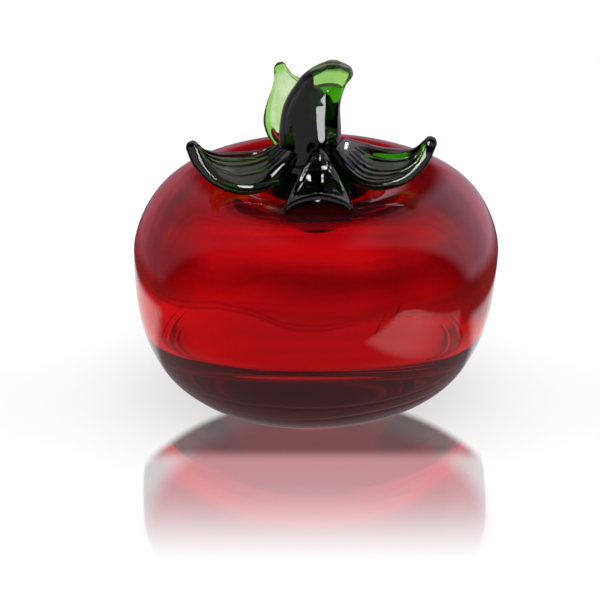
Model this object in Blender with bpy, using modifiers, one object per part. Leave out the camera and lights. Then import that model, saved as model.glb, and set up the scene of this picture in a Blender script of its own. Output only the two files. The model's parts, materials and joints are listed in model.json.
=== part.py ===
# Glass tomato figurine: a hollow blown body of red glass, closed by a green hub
# that carries four leaves and a bent stem.
# The origin is on the table plane under the widest ring, +Z is up and the front faces -Y.
# Every piece is made upright, and the whole figurine is then leaned a little to the right.
import math

import bpy
import numpy as np
from mathutils import Matrix

# Body, in metres
BODY_RADIUS = 0.0430
BELT_HEIGHT = 0.0363
BASE_RADIUS = 0.0189
SHOULDER_RISE = 0.0196
DIMPLE_DEPTH = 0.0092
DIMPLE_WIDTH = 0.0175
WALL = 0.0035
FLOOR_THICKNESS = 0.0160
MOUTH_RADIUS = 0.0055
# Fullness of the round profile: the power on the radius, then the one on the height
UPPER_FULLNESS = (5.0, 1.5)
LOWER_FULLNESS = (5.0, 2.47)
CAVITY_FULLNESS = (12.0, 2.5)
# Sideways shift for each unit of height
LEAN = 0.024

# Seat of the green glass
CLEARANCE = 0.0003
HUB_RADIUS = 0.0128
HUB_PROUD = 0.0024
HUB_SEAT_RADIUS = 0.0075
PLUG_DROP = 0.0030

# Leaves: how far out and up they go is listed station by station, from the root to the tip.
# A station holds the reach from the axis, the height of the middle over the crest of the
# shoulder, the sideways sway, the half width, the half thickness and the roll in degrees,
# which drops the edge that faces the front.
LEAF_TIP_ROUND = 0.00135
LEFT_LEAF_AZIMUTH = 201.0
LEFT_LEAF = (
    (0.0045, 0.0066, 0.0, 0.0036, 0.0026, 4.0),
    (0.0100, 0.0036, 0.0, 0.0060, 0.0023, 6.0),
    (0.0140, 0.0022, 0.0, 0.0083, 0.0021, 7.0),
    (0.0180, 0.0019, 0.0, 0.0093, 0.0020, 8.0),
    (0.0218, 0.0023, 0.0, 0.0090, 0.0020, 10.0),
    (0.0254, 0.0039, 0.0, 0.0072, 0.0019, 14.0),
    (0.0282, 0.0062, 0.0, 0.0046, 0.0018, 18.0),
    (0.0299, 0.0087, 0.0, 0.0026, 0.0016, 20.0),
    (0.0306, 0.0100, 0.0, 0.0015, 0.0014, 20.0),
)
RIGHT_LEAF_AZIMUTH = 339.0
RIGHT_LEAF = (
    (0.0045, 0.0058, 0.0, 0.0046, 0.0026, 4.0),
    (0.0100, 0.0036, 0.0, 0.0082, 0.0023, 6.0),
    (0.0140, 0.0027, 0.0, 0.0095, 0.0021, 8.0),
    (0.0180, 0.0029, 0.0, 0.0092, 0.0020, 10.0),
    (0.0213, 0.0039, 0.0, 0.0077, 0.0020, 13.0),
    (0.0238, 0.0056, 0.0, 0.0057, 0.0018, 17.0),
    (0.0257, 0.0079, 0.0, 0.0037, 0.0017, 20.0),
    (0.0266, 0.0099, 0.0, 0.0022, 0.0015, 22.0),
    (0.0269, 0.0106, 0.0, 0.0015, 0.0014, 22.0),
)
BACK_LEAF_AZIMUTH = 118.0
BACK_LEAF = (
    (0.0070, 0.0030, -0.0010, 0.0040, 0.0018, 0.0),
    (0.0094, 0.0060, 0.0000, 0.0067, 0.0016, 0.0),
    (0.0108, 0.0105, 0.0010, 0.0078, 0.0015, 0.0),
    (0.0113, 0.0143, 0.0018, 0.0068, 0.0014, 0.0),
    (0.0116, 0.0175, 0.0027, 0.0047, 0.0013, 0.0),
    (0.0118, 0.0202, 0.0035, 0.0025, 0.0013, 0.0),
    (0.0121, 0.0226, 0.0041, 0.0015, 0.0014, 0.0),
)
# The front leaf is a short tongue with a roof ridge and a blunt end
FRONT_LEAF_AZIMUTH = 270.0
FRONT_LEAF = (
    (0.0040, 0.0046, 0.0, 0.0024, 0.0046, 0.0),
    (0.0090, 0.0038, 0.0, 0.0036, 0.0040, 0.0),
    (0.0130, 0.0029, 0.0, 0.0052, 0.0034, 0.0),
    (0.0170, 0.0021, 0.0, 0.0065, 0.0030, 0.0),
    (0.0210, 0.0015, 0.0, 0.0073, 0.0028, 0.0),
    (0.0244, 0.0010, 0.0, 0.0076, 0.0026, 0.0),
)
FRONT_LIP_ROUND = 0.0012
# Roundness of a leaf's cross-section above and below its widest line: 2 is an ellipse,
# more is a slab with round edges and less is a roof
SLAB_SECTION = (3.0, 3.0)
ROOF_SECTION = (1.5, 3.0)

# Stem: height over its seat, sideways place of the centre, half width and half depth
STEM = (
    (0.0000, -0.0012, 0.0072, 0.0071),
    (0.0038, -0.0018, 0.0072, 0.0070),
    (0.0087, -0.0020, 0.0071, 0.0069),
    (0.0143, -0.0016, 0.0064, 0.0062),
    (0.0184, 0.0001, 0.0058, 0.0050),
    (0.0214, 0.0021, 0.0053, 0.0038),
    (0.0231, 0.0027, 0.0037, 0.0027),
    (0.0241, 0.0028, 0.0016, 0.0014),
)

# Fineness of the curved surfaces
FINE_POINTS = 1500
RIM_CROWDING = 2.5
BODY_STEPS = 48
HUB_STEPS = 32
OUTER_POINTS = 32
INNER_POINTS = 28
HUB_POINTS = 8
LEAF_RINGS = 15
TIP_RINGS = 3
STEM_RINGS = 18
RING_POINTS = 20
TIP_CLOSING = 0.9
SHARP_ANGLE = 40.0


def powerArch(radius, reach, rise, fullness):
    """Height of a dome over its rim plane: rise * (1 - (r / reach)^a)^(1 / b)."""
    share = 1.0 - np.clip(radius / reach, 0.0, 1.0) ** fullness[0]
    return rise * np.clip(share, 0.0, 1.0) ** (1.0 / fullness[1])


def shoulderHeight(radius):
    """Height of the body's outside over the table above the belt, with the dimple in its middle."""
    radius = np.asarray(radius, float)
    dimple = DIMPLE_DEPTH * np.exp(-((radius / DIMPLE_WIDTH) ** 2))
    return BELT_HEIGHT + powerArch(radius, BODY_RADIUS, SHOULDER_RISE, UPPER_FULLNESS) - dimple


def crestHeight():
    """Height of the ring round the dimple, where the shoulder is highest."""
    return float(shoulderHeight(np.linspace(0.0, BODY_RADIUS, FINE_POINTS)).max())


def rimSpaced(start, end):
    """Radii from start to end that crowd together towards end, where a dome turns steep."""
    share = np.linspace(0.0, 1.0, FINE_POINTS)
    return end - (end - start) * (1.0 - share) ** RIM_CROWDING


def evenly(points, count):
    """The same line with its points at even steps along its length."""
    length = np.r_[0.0, np.cumsum(np.linalg.norm(np.diff(points, axis=0), axis=1))]
    marks = np.linspace(0.0, length[-1], count)
    return np.column_stack([np.interp(marks, length, points[:, i]) for i in range(2)])


def moved(points, distance):
    """The line moved to its left, which is outwards on a line that runs from the axis to the rim."""
    along = np.gradient(points, axis=0)
    along /= np.linalg.norm(along, axis=1)[:, None]
    return points + distance * np.column_stack([-along[:, 1], along[:, 0]])


def upperOutside(start):
    """From the given radius over the shoulder and down to the belt."""
    radius = rimSpaced(start, BODY_RADIUS)
    return np.column_stack([radius, shoulderHeight(radius)])


def lowerOutside():
    """From the belt down to the edge of the flat base."""
    share = (BASE_RADIUS / BODY_RADIUS) ** LOWER_FULLNESS[0]
    depth = BELT_HEIGHT / (1.0 - share) ** (1.0 / LOWER_FULLNESS[1])
    radius = rimSpaced(BASE_RADIUS, BODY_RADIUS)[::-1]
    height = BELT_HEIGHT - powerArch(radius, BODY_RADIUS, depth, LOWER_FULLNESS)
    height[-1] = 0.0
    return np.column_stack([radius, height])


def cavityUnderside():
    """The wall's inner face, from the mouth over the shoulder to the belt."""
    inside = moved(upperOutside(MOUTH_RADIUS), -WALL)
    inside[-1] = (BODY_RADIUS - WALL, BELT_HEIGHT)
    return inside


def cavityBowl():
    """The hollow's floor, from the axis out to the belt."""
    reach = BODY_RADIUS - WALL
    radius = rimSpaced(0.0, reach)
    depth = BELT_HEIGHT - FLOOR_THICKNESS
    return np.column_stack([radius, BELT_HEIGHT - powerArch(radius, reach, depth, CAVITY_FULLNESS)])


def bodyProfile():
    """Up the inside from the floor to the mouth, then down the outside to the base."""
    inside = np.vstack([cavityBowl(), cavityUnderside()[::-1][1:]])
    outside = np.vstack([upperOutside(MOUTH_RADIUS), lowerOutside()[1:]])
    return np.vstack([evenly(inside, INNER_POINTS), evenly(outside, OUTER_POINTS), [(0.0, 0.0)]])


def hubTop():
    """Height of the flat seat that the stem stands on."""
    return crestHeight() + HUB_PROUD


def hubProfile():
    """The flat seat, the round rim, the underside in the dimple and the plug in the mouth."""
    underRim = float(shoulderHeight(HUB_RADIUS)) + CLEARANCE
    turn = np.linspace(0.0, 0.5 * math.pi, HUB_POINTS)
    rim = np.column_stack([
        HUB_SEAT_RADIUS + (HUB_RADIUS - HUB_SEAT_RADIUS) * np.sin(turn),
        underRim + (hubTop() - underRim) * np.cos(turn),
    ])
    plugRadius = MOUTH_RADIUS - CLEARANCE
    radius = np.linspace(HUB_RADIUS, MOUTH_RADIUS, HUB_POINTS)[1:]
    under = np.column_stack([radius, shoulderHeight(radius) + CLEARANCE])
    wallFoot = cavityUnderside()[0, 1]
    lip = np.column_stack([
        plugRadius * np.cos(turn),
        wallFoot - PLUG_DROP * np.sin(turn),
    ])
    lip[-1, 0] = 0.0
    return np.vstack([[(0.0, hubTop())], rim, under, lip])


def throughStations(stations, count):
    """A smooth curve through the stations, by cubic steps with the slope of their neighbours."""
    rows = np.asarray(stations, float)
    mark = np.r_[0.0, np.cumsum(np.linalg.norm(np.diff(rows[:, :2], axis=0), axis=1))]
    slope = np.gradient(rows, mark, axis=0)
    at = np.linspace(0.0, mark[-1], count)
    left = np.clip(np.searchsorted(mark, at, side="right") - 1, 0, len(mark) - 2)
    span = (mark[left + 1] - mark[left])[:, None]
    t = ((at - mark[left]) / span[:, 0])[:, None]
    return (
        (2 * t**3 - 3 * t**2 + 1) * rows[left]
        + (t**3 - 2 * t**2 + t) * span * slope[left]
        + (3 * t**2 - 2 * t**3) * rows[left + 1]
        + (t**3 - t**2) * span * slope[left + 1]
    )


def sectionRing(halfWidth, halfThickness, section):
    """One closed cross-section: |x / w|^p + |y / t|^p = 1, with its own p above and below."""
    turn = np.linspace(0.0, 2.0 * math.pi, RING_POINTS, endpoint=False)
    power = 2.0 / np.where(np.sin(turn) >= 0.0, section[0], section[1])
    across = np.sign(np.cos(turn)) * np.abs(np.cos(turn)) ** power
    upwards = np.sign(np.sin(turn)) * np.abs(np.sin(turn)) ** power
    return halfWidth * across, halfThickness * upwards


def leafRings(stations, azimuth, section, endRound, grow=0.0):
    """Cross-sections square to the leaf's midline, from the root to a rounded end."""
    rows = throughStations(stations, LEAF_RINGS)
    outwards = np.array([math.cos(math.radians(azimuth)), math.sin(math.radians(azimuth)), 0.0])
    sideways = np.array([-outwards[1], outwards[0], 0.0])
    upwards = np.array([0.0, 0.0, 1.0])
    middle = rows[:, :1] * outwards + rows[:, 2:3] * sideways
    middle = middle + (rows[:, 1:2] + crestHeight()) * upwards
    along = np.gradient(middle, axis=0)
    along /= np.linalg.norm(along, axis=1)[:, None]
    across = sideways - (along @ sideways)[:, None] * along
    across /= np.linalg.norm(across, axis=1)[:, None]
    frontSide = -1.0 if sideways[1] > 0.0 else 1.0
    tilt = np.radians(rows[:, 5:6]) * frontSide
    width = np.cos(tilt) * across - np.sin(tilt) * np.cross(along, across)
    face = np.cross(along, width)
    rings = []
    for place, wide, up, row in zip(middle, width, face, rows):
        x, y = sectionRing(row[3] + grow, row[4] + grow, section)
        rings.append(place + x[:, None] * wide + y[:, None] * up)
    # The end is rounded off: each last ring is a smaller one, a little further out
    for turn in np.linspace(0.0, 0.5 * math.pi, TIP_RINGS + 1)[1:]:
        shrink = (1.0 - math.cos(turn)) * endRound * TIP_CLOSING
        x, y = sectionRing(rows[-1, 3] + grow - shrink, rows[-1, 4] + grow - shrink, section)
        place = middle[-1] + along[-1] * (endRound * math.sin(turn) + grow)
        rings.append(place + x[:, None] * width[-1] + y[:, None] * face[-1])
    return np.array(rings)


def stemRings(grow=0.0):
    """Level ellipses from the seat on the hub to the bent tip."""
    seat = hubTop() + CLEARANCE
    turn = np.linspace(0.0, 2.0 * math.pi, RING_POINTS, endpoint=False)
    rings = []
    for height, centre, halfWidth, halfDepth in throughStations(STEM, STEM_RINGS):
        rings.append(np.column_stack([
            centre + (halfWidth + grow) * np.cos(turn),
            (halfDepth + grow) * np.sin(turn),
            np.full(RING_POINTS, seat + height),
        ]))
    rings = np.array(rings)
    rings[0, :, 2] -= grow
    rings[-1, :, 2] += grow
    return rings


def glass(name, colour):
    material = bpy.data.materials.new(name)
    material.use_nodes = True
    shader = material.node_tree.nodes["Principled BSDF"]
    shader.inputs["Base Color"].default_value = (*colour, 1.0)
    shader.inputs["Roughness"].default_value = 0.02
    shader.inputs["Metallic"].default_value = 0.0
    shader.inputs["IOR"].default_value = 1.5
    shader.inputs["Transmission Weight"].default_value = 1.0
    material.diffuse_color = (*colour, 1.0)
    return material


def newCollection(name):
    collection = bpy.data.collections.new(name)
    bpy.context.scene.collection.children.link(collection)
    return collection


def newObject(name, points, edges, faces, collection, material):
    mesh = bpy.data.meshes.new(name)
    mesh.from_pydata([tuple(map(float, point)) for point in points], edges, faces)
    if material:
        mesh.materials.append(material)
    piece = bpy.data.objects.new(name, mesh)
    collection.objects.link(piece)
    return piece


def turned(name, profile, steps, collection, material=None):
    """A profile in the plane of X and Z, turned round the axis by a Screw modifier."""
    points = [(radius, 0.0, height) for radius, height in profile]
    edges = [(i, i + 1) for i in range(len(points) - 1)]
    piece = newObject(name, points, edges, [], collection, material)
    screw = piece.modifiers.new("turn", "SCREW")
    screw.steps = steps
    screw.render_steps = steps
    screw.use_merge_vertices = True
    screw.merge_threshold = 0.00001
    return piece


def lofted(name, rings, collection, material=None):
    """Quads between neighbouring rings, and a flat face over each end."""
    count, size = rings.shape[:2]
    faces = []
    for i in range(count - 1):
        for j in range(size):
            k = (j + 1) % size
            faces.append((i * size + j, i * size + k, (i + 1) * size + k, (i + 1) * size + j))
    faces.append(tuple(range(size - 1, -1, -1)))
    faces.append(tuple((count - 1) * size + j for j in range(size)))
    return newObject(name, rings.reshape(-1, 3), [], faces, collection, material)


def facesOut(piece):
    """Turns a loft the right way out if its rings wind the other way."""
    mesh = piece.data
    volume = 0.0
    mesh.calc_loop_triangles()
    for triangle in mesh.loop_triangles:
        a, b, c = (mesh.vertices[i].co for i in triangle.vertices)
        volume += a.dot(b.cross(c))
    if volume < 0.0:
        mesh.flip_normals()


def asCutter(piece):
    piece.hide_render = True
    piece.display_type = "WIRE"
    return piece


def cutBy(piece, cutters):
    for cutter in cutters:
        cut = piece.modifiers.new(cutter.name, "BOOLEAN")
        cut.operation = "DIFFERENCE"
        cut.solver = "EXACT"
        cut.object = cutter


def settled(piece, lean):
    """Keeps the piece's finished mesh in place of its modifiers, and leans it."""
    evaluated = piece.evaluated_get(bpy.context.evaluated_depsgraph_get())
    mesh = bpy.data.meshes.new_from_object(evaluated)
    mesh.transform(lean)
    mesh.shade_smooth()
    mesh.set_sharp_from_angle(angle=math.radians(SHARP_ANGLE))
    return mesh


def main():
    for piece in list(bpy.data.objects):
        bpy.data.objects.remove(piece, do_unlink=True)
    parts = newCollection("glass_tomato_figurine")
    cutters = newCollection("cutters")

    redGlass = glass("red_glass", (0.60, 0.004, 0.012))
    hubGlass = glass("hub_glass", (0.02, 0.10, 0.02))
    leafGlass = glass("leaf_glass", (0.05, 0.22, 0.05))
    stemGlass = glass("stem_glass", (0.04, 0.18, 0.03))

    turned("body_shell", bodyProfile(), BODY_STEPS, parts, redGlass)
    turned("calyx_hub", hubProfile(), HUB_STEPS, parts, hubGlass)
    stem = lofted("stem", stemRings(), parts, stemGlass)
    facesOut(stem)

    # What the leaves lie against, made larger by the clearance
    shoulder = moved(evenly(upperOutside(0.0), OUTER_POINTS), CLEARANCE)
    shoulder[0, 0] = 0.0
    shoulder = np.vstack([shoulder, [(0.0, BELT_HEIGHT)]])
    bodySpace = asCutter(turned("body_space", shoulder, BODY_STEPS, cutters))
    hub = hubProfile()[: 1 + HUB_POINTS] + (0.0, CLEARANCE)
    hub[1:, 0] += CLEARANCE
    hub = np.vstack([hub, [(HUB_RADIUS + CLEARANCE, BELT_HEIGHT), (0.0, BELT_HEIGHT)]])
    hubSpace = asCutter(turned("hub_space", hub, HUB_STEPS, cutters))
    stemSpace = asCutter(lofted("stem_space", stemRings(CLEARANCE), cutters))
    facesOut(stemSpace)
    spaces = [bodySpace, hubSpace, stemSpace]

    leaves = (
        ("leaf_front", FRONT_LEAF, FRONT_LEAF_AZIMUTH, ROOF_SECTION, FRONT_LIP_ROUND),
        ("leaf_left", LEFT_LEAF, LEFT_LEAF_AZIMUTH, SLAB_SECTION, LEAF_TIP_ROUND),
        ("leaf_right", RIGHT_LEAF, RIGHT_LEAF_AZIMUTH, SLAB_SECTION, LEAF_TIP_ROUND),
        ("leaf_back", BACK_LEAF, BACK_LEAF_AZIMUTH, SLAB_SECTION, LEAF_TIP_ROUND),
    )
    for name, *shape in leaves:
        leaf = lofted(name, leafRings(*shape), parts, leafGlass)
        facesOut(leaf)
        cutBy(leaf, spaces)
        space = asCutter(lofted(name + "_space", leafRings(*shape, grow=CLEARANCE), cutters))
        facesOut(space)
        spaces = spaces + [space]

    lean = Matrix.Identity(4)
    lean[0][2] = LEAN
    lean[0][3] = -LEAN * BELT_HEIGHT
    bpy.context.view_layer.update()
    finished = {piece: settled(piece, lean) for piece in parts.objects}
    for piece, mesh in finished.items():
        piece.modifiers.clear()
        piece.data = mesh
    for cutter in list(cutters.objects):
        bpy.data.objects.remove(cutter, do_unlink=True)
    bpy.data.collections.remove(cutters)


main()
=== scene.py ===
# Looks of the glass tomato figurine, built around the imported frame.
# Lengths are in metres, +Z is up and the front faces -Y. Every piece is worked out as arrays of
# closed rings, upright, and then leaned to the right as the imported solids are.
import json
import math

import bpy
import numpy as np
from mathutils import Matrix, Vector

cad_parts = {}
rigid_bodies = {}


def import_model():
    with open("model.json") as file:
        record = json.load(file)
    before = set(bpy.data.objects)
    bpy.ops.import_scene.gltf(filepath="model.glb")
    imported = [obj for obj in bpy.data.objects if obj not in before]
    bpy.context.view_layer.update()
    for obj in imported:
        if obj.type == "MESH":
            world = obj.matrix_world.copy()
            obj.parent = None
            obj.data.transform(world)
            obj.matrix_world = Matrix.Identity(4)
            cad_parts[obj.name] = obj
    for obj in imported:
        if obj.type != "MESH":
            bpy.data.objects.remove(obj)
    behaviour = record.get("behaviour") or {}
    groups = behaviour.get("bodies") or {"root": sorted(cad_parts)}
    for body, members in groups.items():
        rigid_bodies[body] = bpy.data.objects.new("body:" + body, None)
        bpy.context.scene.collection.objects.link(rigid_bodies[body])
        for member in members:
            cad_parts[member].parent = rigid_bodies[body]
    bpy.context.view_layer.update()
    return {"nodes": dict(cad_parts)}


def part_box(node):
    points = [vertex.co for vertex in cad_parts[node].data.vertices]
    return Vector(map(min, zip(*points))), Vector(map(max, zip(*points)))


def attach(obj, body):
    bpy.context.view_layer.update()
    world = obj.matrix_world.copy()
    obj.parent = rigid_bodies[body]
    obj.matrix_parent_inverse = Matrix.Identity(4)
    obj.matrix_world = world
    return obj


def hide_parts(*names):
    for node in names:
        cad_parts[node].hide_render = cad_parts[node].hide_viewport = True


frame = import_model()
bodyLow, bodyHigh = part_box("body_shell")
hubLow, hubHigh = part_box("calyx_hub")
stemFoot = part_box("stem")[0].z
print("frame loaded:", sorted(frame["nodes"]))

# How far the pieces lean to the right per metre of height, and the height that stays in place
lean = {"slope": 0.024, "levelHeight": 0.0363}


def smoothStep(low, high, value):
    share = np.clip((value - low) / (high - low), 0.0, 1.0)
    return share * share * (3.0 - 2.0 * share)


def spanShare(value, rise, fall):
    # Rises from 0 to 1 over one span and falls back to 0 over the other
    return smoothStep(*rise, value) * (1.0 - smoothStep(*fall, value))


def powerArch(radius, reach, rise, powers):
    # rise times (1 - (radius / reach)^a)^(1 / b)
    share = np.clip(1.0 - np.clip(radius / reach, 0.0, 1.0) ** powers[0], 0.0, 1.0)
    return rise * share ** (1.0 / powers[1])


def crowdedRadii(start, end, count=2000, crowding=2.5):
    # Radii that crowd towards the end, where a dome turns steep
    return end - (end - start) * (1.0 - np.linspace(0.0, 1.0, count)) ** crowding


def lengthAlong(points):
    return np.r_[0.0, np.cumsum(np.linalg.norm(np.diff(points, axis=0), axis=1))]


def evenly(points, measure, count):
    marks = np.linspace(0.0, measure[-1], count)
    return np.column_stack([np.interp(marks, measure, column) for column in points.T])


def fullTurn(steps):
    return np.linspace(0.0, 2.0 * math.pi, steps, endpoint=False)[None, :]


def unitRows(rows):
    return rows / np.linalg.norm(rows, axis=1)[:, None]


def leftOf(points, distance):
    along = unitRows(np.gradient(points, axis=0))
    return points + distance * np.column_stack([-along[:, 1], along[:, 0]])


def roundedProfile(points, rounding, count):
    # Evens out the line, blurs it by a Gaussian as wide as the rounding, mirrored at the axis
    pointsPerRounding = 5
    reach = 4 * pointsPerRounding
    step = rounding / pointsPerRounding
    length = lengthAlong(points)
    fine = evenly(points, length, int(length[-1] / step))
    head = fine[1:reach + 1][::-1] * (-1.0, 1.0)
    tail = fine[-reach - 1:-1][::-1] * (-1.0, 1.0)
    padded = np.vstack([head, fine, tail])
    weight = np.exp(-0.5 * (np.arange(-reach, reach + 1) / pointsPerRounding) ** 2)
    weight /= weight.sum()
    soft = np.column_stack([np.convolve(column, weight, mode="valid") for column in padded.T])
    soft[[0, -1], 0] = 0.0
    return evenly(soft, lengthAlong(soft), count)


def throughStations(stations, count):
    # Cubic Hermite steps through the stations, each with the slope of its neighbours
    rows = np.asarray(stations, float)
    mark = lengthAlong(rows[:, :2])
    slope = np.gradient(rows, mark, axis=0)
    at = np.linspace(0.0, mark[-1], count)
    left = np.clip(np.searchsorted(mark, at, side="right") - 1, 0, len(mark) - 2)
    span = (mark[left + 1] - mark[left])[:, None]
    t = ((at - mark[left]) / span[:, 0])[:, None]
    return (
        (2 * t**3 - 3 * t**2 + 1) * rows[left]
        + (t**3 - 2 * t**2 + t) * span * slope[left]
        + (3 * t**2 - 2 * t**3) * rows[left + 1]
        + (t**3 - t**2) * span * slope[left + 1]
    )


def leaned(points):
    points = points.copy()
    points[..., 0] += lean["slope"] * (points[..., 2] - lean["levelHeight"])
    return points


def addObject(name, data):
    item = bpy.data.objects.new(name, data)
    bpy.context.scene.collection.objects.link(item)
    return item


def skin(name, rings, firstPole, lastPole):
    # Quads between neighbouring rings and a fan of triangles to the pole at each end
    count, size = rings.shape[:2]
    ring = np.arange(count - 1)[:, None] * size
    here = np.arange(size)[None, :]
    after = (here + 1) % size
    quads = np.stack([ring + here, ring + after, ring + size + after, ring + size + here], axis=-1)
    quads = quads.reshape(-1, 4)
    first, last = count * size, count * size + 1
    top = (count - 1) * size
    here, after = here[0], after[0]
    fans = np.vstack([
        np.column_stack([after, here, np.full(size, first)]),
        np.column_stack([top + here, top + after, np.full(size, last)]),
    ])
    points = leaned(np.vstack([rings.reshape(-1, 3), [firstPole, lastPole]]))
    # A negative volume means that the faces point inwards
    corners = points[np.vstack([quads[:, [0, 1, 2]], quads[:, [0, 2, 3]], fans])]
    volume = np.einsum("ij,ij->i", corners[:, 0], np.cross(corners[:, 1], corners[:, 2])).sum()
    if volume < 0.0:
        quads, fans = quads[:, ::-1], fans[:, ::-1]
    mesh = bpy.data.meshes.new(name)
    mesh.from_pydata(points.tolist(), [], quads.tolist() + fans.tolist())
    mesh.shade_smooth()
    return addObject(name, mesh)


def turnedRings(profile, steps, wave):
    # The profile (radius, height) carried round the axis; wave moves a point along its normal
    turn = fullTurn(steps)
    along = unitRows(np.gradient(profile, axis=0))
    radius, height = profile[:, :1] + 0.0 * turn, profile[:, 1:] + 0.0 * turn
    shift = wave(turn, radius, height)
    radius = radius + shift * -along[:, 1:]
    height = height + shift * along[:, :1]
    return np.stack([radius * np.cos(turn), radius * np.sin(turn), height], axis=-1)


bodyForm = {
    "radius": 0.5 * (bodyHigh.x - bodyLow.x),
    "beltHeight": 0.0363,
    "baseRadius": 0.0189,
    "shoulderRise": 0.0196,
    "dimpleDepth": 0.0092,
    "dimpleWidth": 0.0175,
    "wall": 0.0035,
    "floor": 0.0160,
    "mouthRadius": 0.0055,
    # Powers of the arches: shoulder, lower wall, floor of the hollow
    "upperPowers": (5.0, 1.5),
    "lowerPowers": (5.0, 2.47),
    "hollowPowers": (12.0, 2.5),
    "cornerRounding": 0.00045,
    "rings": 378,
    "steps": 256,
    # More rings at the foot: lowest height, highest height, extra share
    "footRings": (0.002, 0.014, 1.5),
    # The hollow's lower corner, as spans of radius and height, rises in front and drops at the sides
    "cornerRadii": (0.026, 0.034),
    "cornerHeights": (0.030, 0.022),
    "frontLift": 0.0011,
    "sideDrop": 0.0046,
    "sideDropRadii": (0.010, 0.037),
    # Tool marks round the foot: height, depth, half width, waviness
    "toolMarks": (
        (0.0118, 0.00010, 0.0004, 0.0009),
        (0.0086, 0.00014, 0.0004, 0.0007),
        (0.0050, 0.00012, 0.0004, 0.0005),
    ),
    # Slow waves of the blown wall: height, turns round the body, start angle, turns per metre of height
    "innerWaves": ((0.00022, 2, 0.7, 9.0), (0.00016, 3, -1.9, -14.0), (0.00007, 5, 2.2, 23.0)),
    "outerWaves": ((0.00009, 3, 0.8, 6.0), (0.00005, 5, -0.4, -16.0)),
    # They fade out over these spans towards the axis and towards the base
    "waveRadii": (0.012, 0.030),
    "waveHeights": (0.0, 0.004),
}


def shoulderHeight(radius):
    # The outside of the body above the belt: a power arch, less a bell-shaped dimple
    arch = powerArch(radius, bodyForm["radius"], bodyForm["shoulderRise"], bodyForm["upperPowers"])
    dimple = bodyForm["dimpleDepth"] * np.exp(-((radius / bodyForm["dimpleWidth"]) ** 2))
    return bodyForm["beltHeight"] + arch - dimple


def bodyProfile():
    # Floor and roof of the hollow, round the mouth, shoulder, lower wall and flat base
    form = bodyForm
    belt = form["beltHeight"]
    reach = form["radius"] - form["wall"]
    radius = crowdedRadii(0.0, reach)
    bowl = belt - powerArch(radius, reach, belt - form["floor"], form["hollowPowers"])
    bowl = np.column_stack([radius, bowl])
    radius = crowdedRadii(form["mouthRadius"], form["radius"])
    shoulder = np.column_stack([radius, shoulderHeight(radius)])
    under = leftOf(shoulder, -form["wall"])
    under[-1] = (reach, belt)
    # The lower arch is as deep as it has to be to meet the table at the base's radius
    share = (form["baseRadius"] / form["radius"]) ** form["lowerPowers"][0]
    depth = belt / (1.0 - share) ** (1.0 / form["lowerPowers"][1])
    radius = crowdedRadii(form["baseRadius"], form["radius"])[::-1]
    lower = belt - powerArch(radius, form["radius"], depth, form["lowerPowers"])
    lower = np.column_stack([radius, lower])
    outline = np.vstack([bowl, under[::-1][1:], shoulder, lower[1:], [(0.0, 0.0)]])
    profile = roundedProfile(outline, form["cornerRounding"], 4 * form["rings"])
    # More rings where the tool marks are
    outside = np.arange(len(profile)) > np.argmax(profile[:, 0])
    lowest, highest, extra = form["footRings"]
    crowd = 1.0 + extra * outside * (profile[:, 1] < highest) * (profile[:, 1] > lowest)
    measure = np.r_[0.0, np.cumsum(0.5 * (crowd[1:] + crowd[:-1]) * np.diff(lengthAlong(profile)))]
    return evenly(profile, measure, form["rings"] + 2)


def waveSum(waves, turn, height):
    # Sum of depth * sin(turns * angle + start + 2 pi * rate * height)
    return sum(depth * np.sin(turns * turn + start + 2.0 * math.pi * rate * height)
               for depth, turns, start, rate in waves)


def bodyWave(turn, radius, height, inside):
    # Waves of both walls, the raised front corner of the hollow and the wavy tool marks
    form = bodyForm
    inner = waveSum(form["innerWaves"], turn, height)
    outer = waveSum(form["outerWaves"], turn, height) - sum(wave[0] for wave in form["outerWaves"])
    corner = smoothStep(*form["cornerRadii"], radius) * smoothStep(*form["cornerHeights"], height)
    inner = inner - form["frontLift"] * corner * np.clip(-np.sin(turn), 0.0, 1.0) ** 2
    for level, depth, width, sway in form["toolMarks"]:
        ripple = np.sin(2.0 * turn + 300.0 * level) + 0.4 * np.sin(5.0 * turn + 900.0 * level)
        strength = 0.6 + 0.4 * np.sin(3.0 * turn + 500.0 * level)
        outer = outer - depth * strength * np.exp(-(((height - level - sway * ripple) / width) ** 2))
    share = smoothStep(*form["waveRadii"], radius) * smoothStep(*form["waveHeights"], height)
    return share * np.where(inside, -inner, outer)


def makeBody():
    form = bodyForm
    profile = bodyProfile()
    # The profile comes up inside to the mouth, its highest point near the axis
    mouthAt = np.argmax(profile[:, 1] * (profile[:, 0] < form["mouthRadius"] * 1.2))
    inside = (np.arange(len(profile)) < mouthAt)[1:-1, None]
    rings = turnedRings(profile[1:-1], form["steps"], lambda *place: bodyWave(*place, inside))
    # The floor of the hollow drops at the sides
    radius = np.hypot(rings[..., 0], rings[..., 1])
    side = (rings[..., 0] / np.maximum(radius, 0.001)) ** 2
    low = smoothStep(form["beltHeight"], form["cornerHeights"][1], rings[..., 2])
    low = smoothStep(*form["sideDropRadii"], radius) * low
    rings[..., 2] -= form["sideDrop"] * inside * side * low
    return skin("glass_body", rings, (0.0, 0.0, profile[0, 1]), (0.0, 0.0, profile[-1, 1]))


hubForm = {
    "radius": 0.5 * (hubHigh.x - hubLow.x),
    "top": hubHigh.z,
    "seatRadius": 0.0075,
    "plugDrop": 0.0030,
    # Gaps to the body under the rim and round the plug; the underside ends so far outside the mouth
    "clearance": 0.00006,
    "plugClearance": 0.0003,
    "neck": 0.0006,
    "cornerRounding": 0.0004,
    # Soft lobes round the upper rim: how many, start angle, height
    "lobes": (5.0, 0.4, 0.0005),
    "rings": 120,
    "steps": 128,
}


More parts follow.
